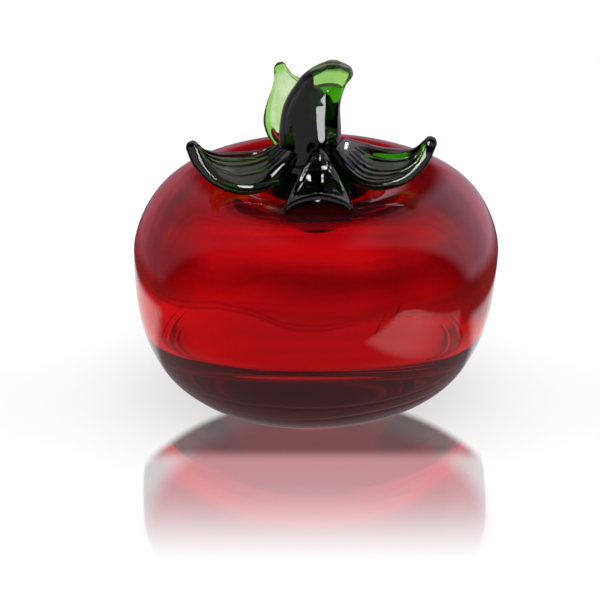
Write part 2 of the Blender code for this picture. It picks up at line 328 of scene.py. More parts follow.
def makeHub():
    # Rim: a quarter ellipse; underside: the dimple's own curve; plug: another quarter ellipse
    form = hubForm
    quarter = np.linspace(0.0, 0.5 * math.pi, 40)
    underRim = float(shoulderHeight(form["radius"])) + form["clearance"]
    rim = np.column_stack([
        form["seatRadius"] + (form["radius"] - form["seatRadius"]) * np.sin(quarter),
        underRim + (form["top"] - underRim) * np.cos(quarter),
    ])
    plug = bodyForm["mouthRadius"] - form["plugClearance"]
    radius = np.linspace(form["radius"], bodyForm["mouthRadius"] + form["neck"], 60)[1:]
    under = np.column_stack([radius, shoulderHeight(radius) + form["clearance"]])
    lipStart = hubLow.z + form["plugDrop"]
    lip = np.column_stack([plug * np.cos(quarter), lipStart - form["plugDrop"] * np.sin(quarter)])
    outline = np.vstack([[(0.0, form["top"])], rim, under, lip])
    outline[-1, 0] = 0.0
    profile = roundedProfile(outline, form["cornerRounding"], form["rings"] + 2)

    def wave(turn, radius, height):
        count, start, depth = form["lobes"]
        share = smoothStep(form["seatRadius"], form["radius"], radius)
        share = share * smoothStep(underRim, form["top"], height)
        return -share * depth * (np.sin(count * turn + start) - 1.0)

    rings = turnedRings(profile[1:-1], form["steps"], wave)
    return skin("glass_hub", rings, (0.0, 0.0, profile[0, 1]), (0.0, 0.0, profile[-1, 1]))


sideLeaf = {
    "powers": (3.0, 3.0), "ribs": 8, "ribHeight": 0.00046, "cup": 0.05, "tipRound": 0.00135, "web": 0.60,
    "cushion": 1.0,
}

# A leaf station holds the reach from the axis, the height of the middle over the crest, the
# sideways sway, the half width, the half thickness and the roll in degrees
leafForms = {
    "leaf_left": {
        "azimuth": 201.0,
        "stations": (
            (0.0045, 0.0066, 0.0, 0.0036, 0.0026, 4.0),
            (0.0100, 0.0036, 0.0, 0.0060, 0.0023, 6.0),
            (0.0140, 0.0022, 0.0, 0.0083, 0.0020, 7.0),
            (0.0180, 0.0019, 0.0, 0.0093, 0.0018, 8.0),
            (0.0218, 0.0023, 0.0, 0.0090, 0.0018, 10.0),
            (0.0254, 0.0039, 0.0, 0.0072, 0.0017, 14.0),
            (0.0282, 0.0062, 0.0, 0.0046, 0.0017, 18.0),
            (0.0299, 0.0087, 0.0, 0.0026, 0.0016, 20.0),
            (0.0306, 0.0100, 0.0, 0.0015, 0.0014, 20.0),
        ),
        **sideLeaf,
    },
    "leaf_right": {
        "azimuth": 339.0,
        "stations": (
            (0.0045, 0.0058, 0.0, 0.0046, 0.0026, 4.0),
            (0.0100, 0.0036, 0.0, 0.0082, 0.0022, 6.0),
            (0.0140, 0.0027, 0.0, 0.0095, 0.0019, 8.0),
            (0.0180, 0.0029, 0.0, 0.0092, 0.0018, 10.0),
            (0.0213, 0.0039, 0.0, 0.0077, 0.0018, 13.0),
            (0.0238, 0.0056, 0.0, 0.0057, 0.0017, 17.0),
            (0.0257, 0.0079, 0.0, 0.0037, 0.0017, 20.0),
            (0.0266, 0.0099, 0.0, 0.0022, 0.0015, 22.0),
            (0.0269, 0.0106, 0.0, 0.0015, 0.0014, 22.0),
        ),
        **sideLeaf,
    },
    "leaf_back": {
        "azimuth": 118.0,
        "stations": (
            (0.0070, 0.0030, -0.0010, 0.0040, 0.0017, 0.0),
            (0.0094, 0.0060, 0.0000, 0.0067, 0.0013, 0.0),
            (0.0108, 0.0105, 0.0011, 0.0079, 0.0010, 0.0),
            (0.0113, 0.0143, 0.0019, 0.0069, 0.0009, 0.0),
            (0.0116, 0.0175, 0.0027, 0.0047, 0.0008, 0.0),
            (0.0118, 0.0202, 0.0035, 0.0025, 0.0007, 0.0),
            (0.0121, 0.0226, 0.0041, 0.0015, 0.0007, 0.0),
        ),
        "powers": (3.0, 3.0), "ribs": 4, "ribHeight": 0.00006, "cup": 0.08, "tipRound": 0.00125, "web": 0.28,
        "cushion": 0.0,
    },
    "leaf_front": {
        "azimuth": 270.0,
        "stations": (
            (0.0040, 0.0046, 0.0, 0.0024, 0.0046, 0.0),
            (0.0090, 0.0038, 0.0, 0.0036, 0.0040, 0.0),
            (0.0130, 0.0029, 0.0, 0.0052, 0.0034, 0.0),
            (0.0170, 0.0021, 0.0, 0.0065, 0.0031, 0.0),
            (0.0212, 0.0014, 0.0, 0.0073, 0.0033, 0.0),
            (0.0253, 0.0009, 0.0, 0.0076, 0.0037, 0.0),
        ),
        "powers": (1.6, 3.0), "ribs": 0, "cup": 0.0, "tipRound": 0.0010, "web": 1.0, "cushion": 0.0,
        # Two creases run out from the root: their places as shares of the half width, height, width
        "creases": (0.60, 0.88, 0.00040, 0.13), "hollow": 0.0013,
    },
}

# Where a leaf's features begin and end, as shares of its half width or of its length
leafSpans = {
    "rims": (0.66, 0.90),
    "thickRim": (0.34, 0.60),
    "cushion": (0.25, 0.58),
    "smoothRim": (0.30, 0.52),
    "blade": ((0.10, 0.30), (0.82, 0.95)),
    "ribs": ((0.05, 0.30), (0.80, 0.97)),
    "creases": ((0.10, 0.35), (0.78, 0.93)),
    "hollow": ((0.10, 0.35), (0.72, 0.92)),
}

leafMesh = {
    "rings": 190,
    "steps": 240,
    "tipRings": 16,
    "tipClosing": 0.94,
    # Gap to the body, and how softly a leaf gives way to it
    "clearance": 0.00006,
    "softness": 0.00012,
    "cushionPower": 1.7,
    "cushionHeight": 1.40,
    "ribSharpness": 5,
    "ribOffset": 0.25,
}


def leafPlanes(form, rows):
    # The midline, the directions along it and across the leaf, and the direction out of its face
    angle = math.radians(form["azimuth"])
    outwards = np.array([math.cos(angle), math.sin(angle), 0.0])
    sideways = np.array([-outwards[1], outwards[0], 0.0])
    upwards = np.array([0.0, 0.0, 1.0])
    middle = rows[:, :1] * outwards + rows[:, 2:3] * sideways
    middle = middle + (rows[:, 1:2] + bodyHigh.z) * upwards
    along = unitRows(np.gradient(middle, axis=0))
    across = unitRows(sideways - (along @ sideways)[:, None] * along)
    # Every leaf rolls its front edge down
    tilt = np.radians(rows[:, 5:6]) * (-1.0 if sideways[1] > 0.0 else 1.0)
    wide = np.cos(tilt) * across - np.sin(tilt) * np.cross(along, across)
    return middle, along, wide, np.cross(along, wide)


def creaseLift(form, share, x, y):
    # Two bell-shaped creases that spread from the root, and a hollow between them
    start, end, height, width = form["creases"]
    crease = start + (end - start) * share
    upper = np.clip(y * 2.0, 0.0, 1.0)
    bell = np.exp(-(((np.abs(x) - crease) / width) ** 2))
    between = np.clip(1.0 - (x / crease) ** 2, 0.0, 1.0)
    raised = height * spanShare(share, *leafSpans["creases"]) * upper * bell
    return raised - form["hollow"] * spanShare(share, *leafSpans["hollow"]) * upper * between


def ribLift(form, share, x, y):
    # Narrow ridges with wide hollows between, strongest in the middle of the leaf
    ridge = (0.5 + 0.5 * np.cos(math.pi * form["ribs"] * x)) ** leafMesh["ribSharpness"]
    ridge = ridge - leafMesh["ribOffset"]
    strength = spanShare(share, *leafSpans["ribs"])
    strength = strength * (1.0 - np.abs(x) ** 6) * np.clip(np.abs(y) * 3.0, 0.0, 1.0)
    strength = strength * (1.0 - form["cushion"] * smoothStep(*leafSpans["smoothRim"], x))
    return form["ribHeight"] * ridge * strength * np.sign(y)


def leafLift(form, rows, x, y):
    # Thinner between its thick rims; the rim at +x is the wider one, with a rounded cushion on top
    share = np.linspace(0.0, 1.0, len(rows))[:, None]
    rims = smoothStep(*leafSpans["rims"], np.abs(x))
    rims = np.maximum(rims, form["cushion"] * smoothStep(*leafSpans["thickRim"], x))
    blade = spanShare(share, *leafSpans["blade"])
    thin = form["web"] + (1.0 - form["web"]) * rims
    thin = 1.0 - (1.0 - thin) * blade
    power = leafMesh["cushionPower"]
    cushion = form["cushion"] * smoothStep(*leafSpans["cushion"], x) * (y > 0.0) * blade
    rounded = leafMesh["cushionHeight"] * np.clip(1.0 - np.abs(x) ** power, 0.0, 1.0) ** (1.0 / power)
    y = y * (1.0 - cushion) + rounded * cushion
    lift = rows[:, 4:5] * y * thin + form["cup"] * rows[:, 3:4] * x**2
    if "creases" in form:
        lift = lift + creaseLift(form, share, x, y)
    if form["ribs"]:
        lift = lift + ribLift(form, share, x, y)
    return lift


def makeLeaf(name, form):
    # Sections |x / w|^p + |y / t|^p = 1 square to the midline, ribbed along their length
    rows = throughStations(form["stations"], leafMesh["rings"])
    middle, along, wide, face = leafPlanes(form, rows)
    # The tip: more rings that shrink along a quarter circle
    quarter = np.linspace(0.0, 0.5 * math.pi, leafMesh["tipRings"] + 1)[1:]
    shrink = (1.0 - np.cos(quarter)) * form["tipRound"] * leafMesh["tipClosing"]
    onward = form["tipRound"] * np.sin(quarter)[:, None]
    tipRows = np.repeat(rows[-1:], len(quarter), axis=0)
    tipRows[:, 3:5] -= shrink[:, None]
    middle = np.vstack([middle, middle[-1] + along[-1] * onward])
    wide = np.vstack([wide, np.repeat(wide[-1:], len(quarter), axis=0)])
    face = np.vstack([face, np.repeat(face[-1:], len(quarter), axis=0)])
    rows = np.vstack([rows, tipRows])

    turn = fullTurn(leafMesh["steps"])
    power = 2.0 / np.where(np.sin(turn) >= 0.0, form["powers"][0], form["powers"][1])
    x = np.sign(np.cos(turn)) * np.abs(np.cos(turn)) ** power
    y = np.sign(np.sin(turn)) * np.abs(np.sin(turn)) ** power
    lift = leafLift(form, rows, x, y)
    points = middle[:, None] + (rows[:, 3:4] * x)[..., None] * wide[:, None] + lift[..., None] * face[:, None]
    # What would sink into the body lies on it instead
    rest = shoulderHeight(np.hypot(points[..., 0], points[..., 1])) + leafMesh["clearance"]
    over = points[..., 2] - rest
    points[..., 2] = rest + 0.5 * (over + np.sqrt(over**2 + leafMesh["softness"] ** 2))
    tip = points[-1].mean(axis=0) + along[-1] * form["tipRound"] * (1.0 - leafMesh["tipClosing"])
    return skin("glass_" + name, points, points[0].mean(axis=0), tip)


# Stem station: height over its foot, sideways place of the centre, half width, half depth
stemForm = {
    "stations": (
        (0.0000, -0.0012, 0.0072, 0.0071),
        (0.0038, -0.0018, 0.0072, 0.0070),
        (0.0087, -0.0020, 0.0071, 0.0069),
        (0.0143, -0.0016, 0.0064, 0.0062),
        (0.0184, 0.0001, 0.0058, 0.0050),
        (0.0214, 0.0021, 0.0053, 0.0037),
        (0.0228, 0.0027, 0.0038, 0.0031),
        (0.0237, 0.0028, 0.0017, 0.0022),
    ),
    "foot": stemFoot,
    "rings": 300,
    "steps": 288,
    # The foot widens: by how much, and over what height
    "flare": (0.0026, 0.0020),
    # The tip is pinched thin from behind, inside a thick rim that is wider at the left
    "rim": 0.0012,
    "leftRim": 0.0004,
    "leftRimSpan": (0.0035, -0.0010),
    # An arc parts the thin web from a thicker pane under it: sideways middle, height, how it drops
    "arc": (0.0018, 0.0190, 80.0),
    "arcSoftness": 0.00008,
    "webThickness": 0.00125,
    "paneThickness": 0.0042,
    # How far left both reach, as (height, sideways), and the height where the pane ends
    "leftEdge": (
        (0.0144, 0.0023), (0.0162, 0.0014), (0.0169, -0.00045), (0.0182, -0.0010), (0.0190, -0.0015),
    ),
    "paneFoot": 0.0148,
    "wallSlope": 0.22,
    "backSlope": 0.445,
    "pinchSoftness": 0.00012,
    # Painted shade in the glass: in the rim over the pane, between these heights, and along the arc, this
    # wide
    "paintedRimShade": (0.0015, 0.0190, 0.0208),
    "paintedArcShade": 0.00020,
    # A flat pressed on the front: its heights, its left edge and its crease, as (height, sideways)
    "flatSpan": ((0.0068, 0.0076), (0.0176, 0.0186)),
    "flatLeft": ((0.0072, -0.0004), (0.0152, -0.0009), (0.0181, 0.0012)),
    "flatCrease": ((0.0080, 0.0015), (0.0181, 0.0013)),
    "flatRight": 0.0042,
}


def distanceTo(line, x, height):
    # Shortest way from each point (x, height) to the points of the line
    flat = np.column_stack([x.ravel(), height.ravel()])
    nearest = np.full(len(flat), np.inf)
    for part in np.array_split(line, 40):
        gap = flat[:, None] - part[None]
        nearest = np.minimum(nearest, np.einsum("ijk,ijk->ij", gap, gap).min(axis=1))
    return np.sqrt(nearest).reshape(x.shape)


def alongHeight(line, height):
    # Sideways place of a line given as (height, sideways) points
    points = np.asarray(line)
    return np.interp(height, points[:, 0], points[:, 1])


def pressedFront(rows, x, y, isFront):
    # Chords of the section from the flat's left edge to the crease and on to the right
    height, centre, halfWidth, halfDepth = (rows[:, i:i + 1] for i in range(4))

    def onSection(place):
        share = np.clip(1.0 - ((place - centre) / halfWidth) ** 2, 0.0, 1.0)
        return -halfDepth * np.sqrt(share)

    left = alongHeight(stemForm["flatLeft"], height)
    crease = alongHeight(stemForm["flatCrease"], height)
    right = stemForm["flatRight"] + 0.0 * crease
    strength = spanShare(height, *stemForm["flatSpan"])
    front = y.copy()
    for start, end in ((left, crease), (crease, right)):
        chord = onSection(start) + (x - start) * (onSection(end) - onSection(start)) / (end - start)
        within = (x >= start) & (x <= end) & isFront
        front = np.where(within, y + strength * np.maximum(chord - y, 0.0), front)
    return front


def pinchedBack(x, y, height, rim, overArc):
    # What is left of the thickness in the web, in the pane and over their walls
    form = stemForm
    inWeb = smoothStep(-form["arcSoftness"], form["arcSoftness"], overArc)
    thickness = form["paneThickness"] + (form["webThickness"] - form["paneThickness"]) * inWeb
    width = form["rim"] + form["leftRim"] * smoothStep(*form["leftRimSpan"], x)
    outside = np.maximum(width - rim, alongHeight(form["leftEdge"], height) - x)
    thickness = thickness + np.clip(outside, 0.0, None) / form["wallSlope"]
    thickness = thickness + np.clip(form["paneFoot"] - height, 0.0, None) / form["backSlope"]
    spare = 2.0 * np.abs(y) - thickness
    ease = form["pinchSoftness"]
    cut = 0.5 * (spare + np.sqrt(spare**2 + ease**2)) - 0.5 * ease
    return y - np.clip(cut, 0.0, None)


def makeStem():
    # Level ellipses, then a flat on the front and a pinched tip, both as shifts along Y
    form = stemForm
    rows = throughStations(form["stations"], form["rings"])
    spread, over = form["flare"]
    rows[:, 2:4] += (spread * np.exp(-((rows[:, 0] / over) ** 2)))[:, None]
    height, centre, halfWidth, halfDepth = (rows[:, i:i + 1] for i in range(4))
    turn = fullTurn(form["steps"])
    x = centre + halfWidth * np.cos(turn)
    y = halfDepth * np.sin(turn)
    height = height + 0.0 * turn

    # How far each point is inside the outline seen from the front, and how far over the arc
    leftSide = np.column_stack([(centre - halfWidth)[:, 0], rows[:, 0]])
    rightSide = np.column_stack([(centre + halfWidth)[:, 0], rows[:, 0]])
    lid = np.linspace(leftSide[-1], rightSide[-1], 20)
    rim = distanceTo(np.vstack([leftSide, rightSide, lid]), x, height)
    middle, top, drop = form["arc"]
    overArc = height - (top - drop * (x - middle) ** 2)

    isBack = np.sin(turn) > 0.0
    front = pressedFront(rows, x, y, np.sin(turn) < 0.0)
    y = np.where(isBack, pinchedBack(x, y, height, rim, overArc), front)
    points = np.stack([x, y, form["foot"] + height], axis=-1)
    piece = skin("glass_stem", points, points[0].mean(axis=0), points[-1].mean(axis=0))
    # Painted shade at each point, read by the green glass as a darker colour
    reach, low, high = form["paintedRimShade"]
    dark = smoothStep(reach, 0.6 * reach, rim) * smoothStep(low, high, height)
    onArc = np.exp(-((overArc / form["paintedArcShade"]) ** 2)) * isBack
    dark = np.maximum(dark, onArc * smoothStep(0.4 * form["rim"], 1.2 * form["rim"], rim))
    piece.data.attributes.new("paintedShade", "FLOAT", "POINT").data.foreach_set(
        "value", np.r_[dark.ravel(), dark[0, 0], 1.0])
    return piece


def linkOrSet(tree, socket, value):
    if isinstance(value, (int, float)):
        socket.default_value = value
    else:
        tree.links.new(value, socket)


def maths(tree, operation, *values):
    node = tree.nodes.new("ShaderNodeMath")
    node.operation = operation
    for socket, value in zip(node.inputs, values):
        linkOrSet(tree, socket, value)
    return node.outputs["Value"]


def product(tree, *values):
    result = values[0]
    for value in values[1:]:
        result = maths(tree, "MULTIPLY", result, value)
    return result


def ramp(tree, value, low, high, fromValue=0.0, toValue=1.0):
    node = tree.nodes.new("ShaderNodeMapRange")
    node.interpolation_type = "SMOOTHSTEP"
    backwards = high < low
    node.inputs["From Min"].default_value = high if backwards else low
    node.inputs["From Max"].default_value = low if backwards else high
    node.inputs["To Min"].default_value = toValue if backwards else fromValue
    node.inputs["To Max"].default_value = fromValue if backwards else toValue
    tree.links.new(value, node.inputs["Value"])
    return node.outputs["Result"]


def choose(tree, share, otherwise, wanted):
    node = tree.nodes.new("ShaderNodeMix")
    node.data_type = "FLOAT"
    for socket, value in zip((node.inputs[0], node.inputs[2], node.inputs[3]), (share, otherwise, wanted)):
        linkOrSet(tree, socket, value)
    return node.outputs[0]


def mixShaders(tree, share, otherwise, wanted):
    node = tree.nodes.new("ShaderNodeMixShader")
    linkOrSet(tree, node.inputs["Fac"], share)
    tree.links.new(otherwise, node.inputs[1])
    tree.links.new(wanted, node.inputs[2])
    return node.outputs["Shader"]


def noise(tree, vector, scale, stretch=1.0, detail=2.0):
    # Noise on Object coordinates, drawn out level by the stretch
    mapping = tree.nodes.new("ShaderNodeMapping")
    mapping.inputs["Scale"].default_value = (scale, scale, scale * stretch)
    node = tree.nodes.new("ShaderNodeTexNoise")
    node.inputs["Scale"].default_value = 1.0
    node.inputs["Detail"].default_value = detail
    tree.links.new(vector, mapping.inputs["Vector"])
    tree.links.new(mapping.outputs["Vector"], node.inputs["Vector"])
    return node.outputs["Fac"]


def emission(tree, strength, colour=(1.0, 1.0, 1.0)):
    node = tree.nodes.new("ShaderNodeEmission")
    node.inputs["Color"].default_value = (*colour, 1.0)
    linkOrSet(tree, node.inputs["Strength"], strength)
    return node.outputs["Emission"]


def placeOf(tree, kind="Object"):
    # The place as a vector, then its X, Y and Z
    place = tree.nodes.new("ShaderNodeTexCoord").outputs[kind]
    split = tree.nodes.new("ShaderNodeSeparateXYZ")
    tree.links.new(place, split.inputs["Vector"])
    return place, *split.outputs


def newMaterial(name):
    material = bpy.data.materials.new(name)
    material.use_nodes = True
    return material, material.node_tree


# Absorption in the glass per metre of red, green and blue light
redGlass = {
    "absorption": (33.0, 560.0, 430.0), "ior": 1.5, "roughness": 0.0, "clearness": 0.965, "shine": 0.5,
}
greenGlass = {
    "absorption": (800.0, 320.0, 1400.0), "ior": 1.5, "roughness": 0.0, "clearness": 1.0, "shine": 0.28,
    # Faint cords: scale, stretch, detail, then the span of the noise and the least share that passes
    "cords": (90.0, 2.5, 3.0),
    "cordSpan": (0.35, 0.65, 0.84, 1.0),
    # How strongly a cord colours red, green and blue light, and how much the deepest painted shade takes away
    "cordPowers": (1.6, 1.0, 2.0),
    "darkest": 0.84,
}


def clearGlass(name, glass):
    material, tree = newMaterial(name)
    shader, output = tree.nodes["Principled BSDF"], tree.nodes["Material Output"]
    shader.inputs["Roughness"].default_value = glass["roughness"]
    shader.inputs["IOR"].default_value = glass["ior"]
    shader.inputs["Transmission Weight"].default_value = glass["clearness"]
    shader.inputs["Specular IOR Level"].default_value = glass["shine"]
    # Absorption per metre is density * (1 - colour)
    density = 1.02 * max(glass["absorption"])
    volume = tree.nodes.new("ShaderNodeVolumeAbsorption")
    volume.inputs["Density"].default_value = density
    volume.inputs["Color"].default_value = (*(1.0 - share / density for share in glass["absorption"]), 1.0)
    tree.links.new(volume.outputs["Volume"], output.inputs["Volume"])
    return material, tree, shader


# Bands in the red glass's colour, partly its own streaks and partly painted shade: heights in Z, and shares
# of the light that passes. Spans have a start and an end, and what they bring in is whole at the end
redBands = {
    "tint": (1.0, 0.08, 0.145),
    # Height, share
    "rearStops": (
        (0.0200, 1.00), (0.0368, 1.00), (0.0375, 0.72), (0.0383, 0.98), (0.0416, 0.98), (0.0432, 0.58),
        (0.0466, 0.60), (0.0484, 0.96), (0.0500, 0.88), (0.0516, 0.66), (0.0530, 0.62),
    ),
    "frontStops": (
        (0.0200, 0.84), (0.0362, 0.84), (0.0374, 0.98), (0.0390, 0.98), (0.0408, 0.70), (0.0427, 0.50),
        (0.0443, 0.62), (0.0460, 0.86), (0.0474, 1.00), (0.0488, 0.97), (0.0508, 0.74), (0.0530, 0.60),
    ),
    # The front's bands take over along this span of Y
    "frontStart": (-0.004, -0.010),
    # Slow noise shifts all bands: scale, height
    "warp": (26.0, 0.0040),
    # At the rear they dip towards the sides: slope, Y where they are level
    "dip": (0.38, 0.041),
    # In front they lie lower at the left: span of X, shifts
    "leftShift": (-0.012, -0.024, 0.0, 0.0015),
    # Fine streaks: scale, stretch, least share, then the spans of noise and height
    "streaks": (14.0, 190.0, 0.80),
    "streakSpan": (0.36, 0.60),
    "streakStart": (0.018, 0.024),
    # Painted shade on the rear's right side: span of X, share, then its span of height
    "rearShade": (0.008, 0.024, 0.66),
    "rearShadeStart": (0.033, 0.037),
    # Painted shade on the front's sides: spans of X, shares, then their span of height
    "frontShades": ((-0.021, -0.032, 0.48), (0.008, 0.018, 0.68), (0.022, 0.032, 0.62)),
    "frontShadeStart": (0.0335, 0.0375),
    # They begin lower outside of these X, to the right and to the left: X, slope
    "rightSlope": (0.020, 0.6),
    "leftSlope": (-0.022, 0.25),
    "least": 0.34,
    # A wavy line round the front, painted lighter under it: height, its steps as span of X and rise, scale
    # and height of its ripple, its edges, the span of X where it ends, its share
    "waveLine": 0.0354,
    "waveSteps": ((-0.020, -0.033, -0.0030), (-0.016, -0.004, -0.0028), (0.000, 0.010, 0.0012)),
    "waveRipple": (110.0, 0.0006),
    "waveBelow": (0.0002, -0.0003),
    "waveLower": (-0.0003, 0.0001),
    "waveUpper": (0.0008, 0.0002),
    "waveFade": (0.014, 0.0),
    "waveShare": 0.62,
    # Fine dark strokes: the two ends in X and Z, half width; then their share
    "strokes": (
        (0.0180, 0.0368, 0.0164, 0.0340, 0.00022),
        (0.0147, 0.0354, 0.0141, 0.0342, 0.00020),
        (0.0138, 0.0338, 0.0125, 0.0308, 0.00028),
        (0.0193, 0.0342, 0.0214, 0.0337, 0.00018),
        (0.0228, 0.0334, 0.0275, 0.0320, 0.00018),
        (0.0338, 0.0305, 0.0325, 0.0268, 0.00025),
        (-0.0362, 0.0288, -0.0350, 0.0262, 0.00025),
    ),
    "strokeShare": 0.35,
}


def bandShare(tree, height, stops):
    # Share of the light at a height, eased from stop to stop
    top = bodyHigh.z
    bands = tree.nodes.new("ShaderNodeValToRGB")
    bands.color_ramp.interpolation = "EASE"
    rows = bands.color_ramp.elements
    while len(rows) < len(stops):
        rows.new(0.5)
    for row, (level, share) in zip(rows, stops):
        row.position = level / top
        row.color = (share, share, share, 1.0)
    tree.links.new(maths(tree, "DIVIDE", height, top), bands.inputs["Fac"])
    return bands.outputs["Color"]


def strokeMask(tree, x, z, stroke):
    # 1 near the middle of the line from (x1, z1) to (x2, z2), falling to 0 at its edge
    x1, z1, x2, z2, halfWidth = stroke
    length = math.hypot(x2 - x1, z2 - z1)
    alongX, alongZ = (x2 - x1) / length, (z2 - z1) / length
    x = maths(tree, "SUBTRACT", x, 0.5 * (x1 + x2))
    z = maths(tree, "SUBTRACT", z, 0.5 * (z1 + z2))
    along = maths(tree, "ABSOLUTE", maths(tree, "MULTIPLY_ADD", z, alongZ, product(tree, x, alongX)))
    aside = maths(tree, "ABSOLUTE", maths(tree, "MULTIPLY_ADD", x, -alongZ, product(tree, z, alongX)))
    ends = ramp(tree, along, 0.55 * length, 0.35 * length)
    return product(tree, ends, ramp(tree, aside, halfWidth, 0.2 * halfWidth))


def rearShare(tree, x, y, z, height):
    # Bands that dip towards the sides, and painted shade on the right side
    slope, level = redBands["dip"]
    inwards = maths(tree, "SUBTRACT", level, maths(tree, "ABSOLUTE", y))
    bands = bandShare(tree, maths(tree, "MULTIPLY_ADD", inwards, slope, height), redBands["rearStops"])
    # Painted shade on the right side
    start, end, share = redBands["rearShade"]
    shade = product(tree, ramp(tree, x, start, end), ramp(tree, z, *redBands["rearShadeStart"]))
    return product(tree, bands, choose(tree, shade, 1.0, share))


def frontShare(tree, place, x, z, height):
    # Bands down to the wavy line, the line itself, painted shade at the sides, and dark strokes
    shift = ramp(tree, x, *redBands["leftShift"])
    front = bandShare(tree, maths(tree, "ADD", height, shift), redBands["frontStops"])
    level = redBands["waveLine"]
    for start, end, rise in redBands["waveSteps"]:
        level = maths(tree, "MULTIPLY_ADD", ramp(tree, x, start, end), rise, level)
    scale, depth = redBands["waveRipple"]
    level = maths(tree, "MULTIPLY_ADD", noise(tree, place, scale), depth, level)
    over = maths(tree, "SUBTRACT", z, level)
    front = maths(tree, "MAXIMUM", front, ramp(tree, over, *redBands["waveBelow"]))
    thin = product(tree, ramp(tree, over, *redBands["waveLower"]), ramp(tree, over, *redBands["waveUpper"]))
    thin = product(tree, thin, ramp(tree, x, *redBands["waveFade"]))
    front = product(tree, front, choose(tree, thin, 1.0, redBands["waveShare"]))
    # Painted shade at the sides, which starts lower further out
    start, slope = redBands["rightSlope"]
    outwards = maths(tree, "MAXIMUM", maths(tree, "SUBTRACT", x, start), 0.0)
    upper = maths(tree, "MULTIPLY_ADD", outwards, slope, z)
    start, slope = redBands["leftSlope"]
    outwards = maths(tree, "MAXIMUM", maths(tree, "SUBTRACT", start, x), 0.0)
    upper = maths(tree, "MULTIPLY_ADD", outwards, slope, upper)
    upper = ramp(tree, upper, *redBands["frontShadeStart"])
    for start, end, share in redBands["frontShades"]:
        shade = product(tree, ramp(tree, x, start, end), upper)
        front = product(tree, front, choose(tree, shade, 1.0, share))
    front = maths(tree, "MAXIMUM", front, redBands["least"])
    for stroke in redBands["strokes"]:
        mask = strokeMask(tree, x, z, stroke)
        front = product(tree, front, choose(tree, mask, 1.0, redBands["strokeShare"]))
    return front


def makeRedGlass():
    # Height, shifted by slow noise, picks the band, partly the glass's own colour and partly painted shade;
    # fine streaks lie over all of them
    material, tree, shader = clearGlass("red_blown_glass", redGlass)
    place, x, y, z = placeOf(tree)
    scale, depth = redBands["warp"]
    warp = maths(tree, "SUBTRACT", noise(tree, place, scale), 0.5)
    height = maths(tree, "MULTIPLY_ADD", warp, depth, z)
    rear = rearShare(tree, x, y, z, height)
    front = frontShare(tree, place, x, z, height)
    share = choose(tree, ramp(tree, y, *redBands["frontStart"]), rear, front)
    scale, stretch, least = redBands["streaks"]
    streaks = noise(tree, place, scale, stretch / scale, 3.0)
    streaks = ramp(tree, streaks, *redBands["streakSpan"], least, 1.0)
    streaks = choose(tree, ramp(tree, z, *redBands["streakStart"]), 1.0, streaks)
    tint = tree.nodes.new("ShaderNodeVectorMath")
    tint.operation = "SCALE"
    tint.inputs[0].default_value = redBands["tint"]
    tree.links.new(product(tree, streaks, share), tint.inputs["Scale"])
    tree.links.new(tint.outputs["Vector"], shader.inputs["Base Color"])
    return material


def makeGreenGlass():
    # Faint cords, and painted shade where the stem's own attribute says so
    material, tree, shader = clearGlass("green_worked_glass", greenGlass)
    place = placeOf(tree)[0]
    cords = ramp(tree, noise(tree, place, *greenGlass["cords"]), *greenGlass["cordSpan"])
    paintedShade = tree.nodes.new("ShaderNodeAttribute")
    paintedShade.attribute_name = "paintedShade"
    clear = maths(tree, "SUBTRACT", 1.0, product(tree, paintedShade.outputs["Fac"], greenGlass["darkest"]))
    tint = tree.nodes.new("ShaderNodeCombineXYZ")
    for axis, power in zip("XYZ", greenGlass["cordPowers"]):
        tree.links.new(product(tree, maths(tree, "POWER", cords, power), clear), tint.inputs[axis])
    tree.links.new(tint.outputs["Vector"], shader.inputs["Base Color"])
    return material


floorLooks = {
    "size": 0.8,
    "height": -0.0003,
    # It gives way to the white world over this span of the radius
    "fade": (0.10, 0.28),
    # Painted shadow, a little greyer beside the figurine: Y of the middle, reach, paint and glow there and
    # beyond
    "shadowMiddle": -0.011,
    "shadowReach": 0.055,
    "paint": (0.90, 0.98),
    "glow": (1.05, 1.12),
    "glowShare": 0.62,
    # The glossy ellipse in front: middle in Y, half width, half length, then its edge
    "glossPlace": (-0.070, 0.0430, 0.060),
    "glossEdge": (1.08, 0.94),
    "glossRoughness": 0.05,
    # Its share grows towards the figurine in two steps: span of Y, shares
    "glossSteps": ((-0.090, -0.052, 0.0, 0.42), (-0.041, -0.034, 0.0, 0.44)),
    # Red light that the glass throws on it
    "rosyLight": (0.90, 0.46, 0.50),
    "rosyStart": (-0.086, -0.042),
    "rosyEdge": (0.86, 0.60),
    # As the glass mirrors it. Close by: span of the radius, brightness
    "close": (0.078, 0.058, 0.0, 0.26),
    # A lit patch at the right: lean and place of its sides, spans of Y, brightness
    "patchLean": (-0.28, -0.05),
    "patchSides": ((0.056, 0.066), (0.095, 0.090)),
    "patchSpans": ((-0.030, -0.060, 0.4, 1.0), (-0.086, -0.080), (-0.011, -0.015)),
    "patchLight": 1.1,
    # Lit behind: span of Y, then of a radius that shrinks to the right and to both sides
    "behindStart": (-0.006, 0.008),
    "behindReach": (0.122, 0.106),
    "behindSkew": (0.085, 0.335),
    "leastMirrored": 0.05,
}


def floorPaint(tree, y):
    # Diffuse paint that glows a little, so that it stays pale, with a painted shadow beside the figurine
    away = maths(tree, "ABSOLUTE", maths(tree, "ADD", y, -floorLooks["shadowMiddle"]))
    grey = ramp(tree, away, 0.0, floorLooks["shadowReach"], *floorLooks["paint"])
    paint = tree.nodes.new("ShaderNodeCombineXYZ")
    for axis in "XYZ":
        tree.links.new(grey, paint.inputs[axis])
    diffuse = tree.nodes.new("ShaderNodeBsdfDiffuse")
    tree.links.new(paint.outputs["Vector"], diffuse.inputs["Color"])
    glow = emission(tree, ramp(tree, away, 0.0, floorLooks["shadowReach"], *floorLooks["glow"]))
    return mixShaders(tree, floorLooks["glowShare"], diffuse.outputs["BSDF"], glow)


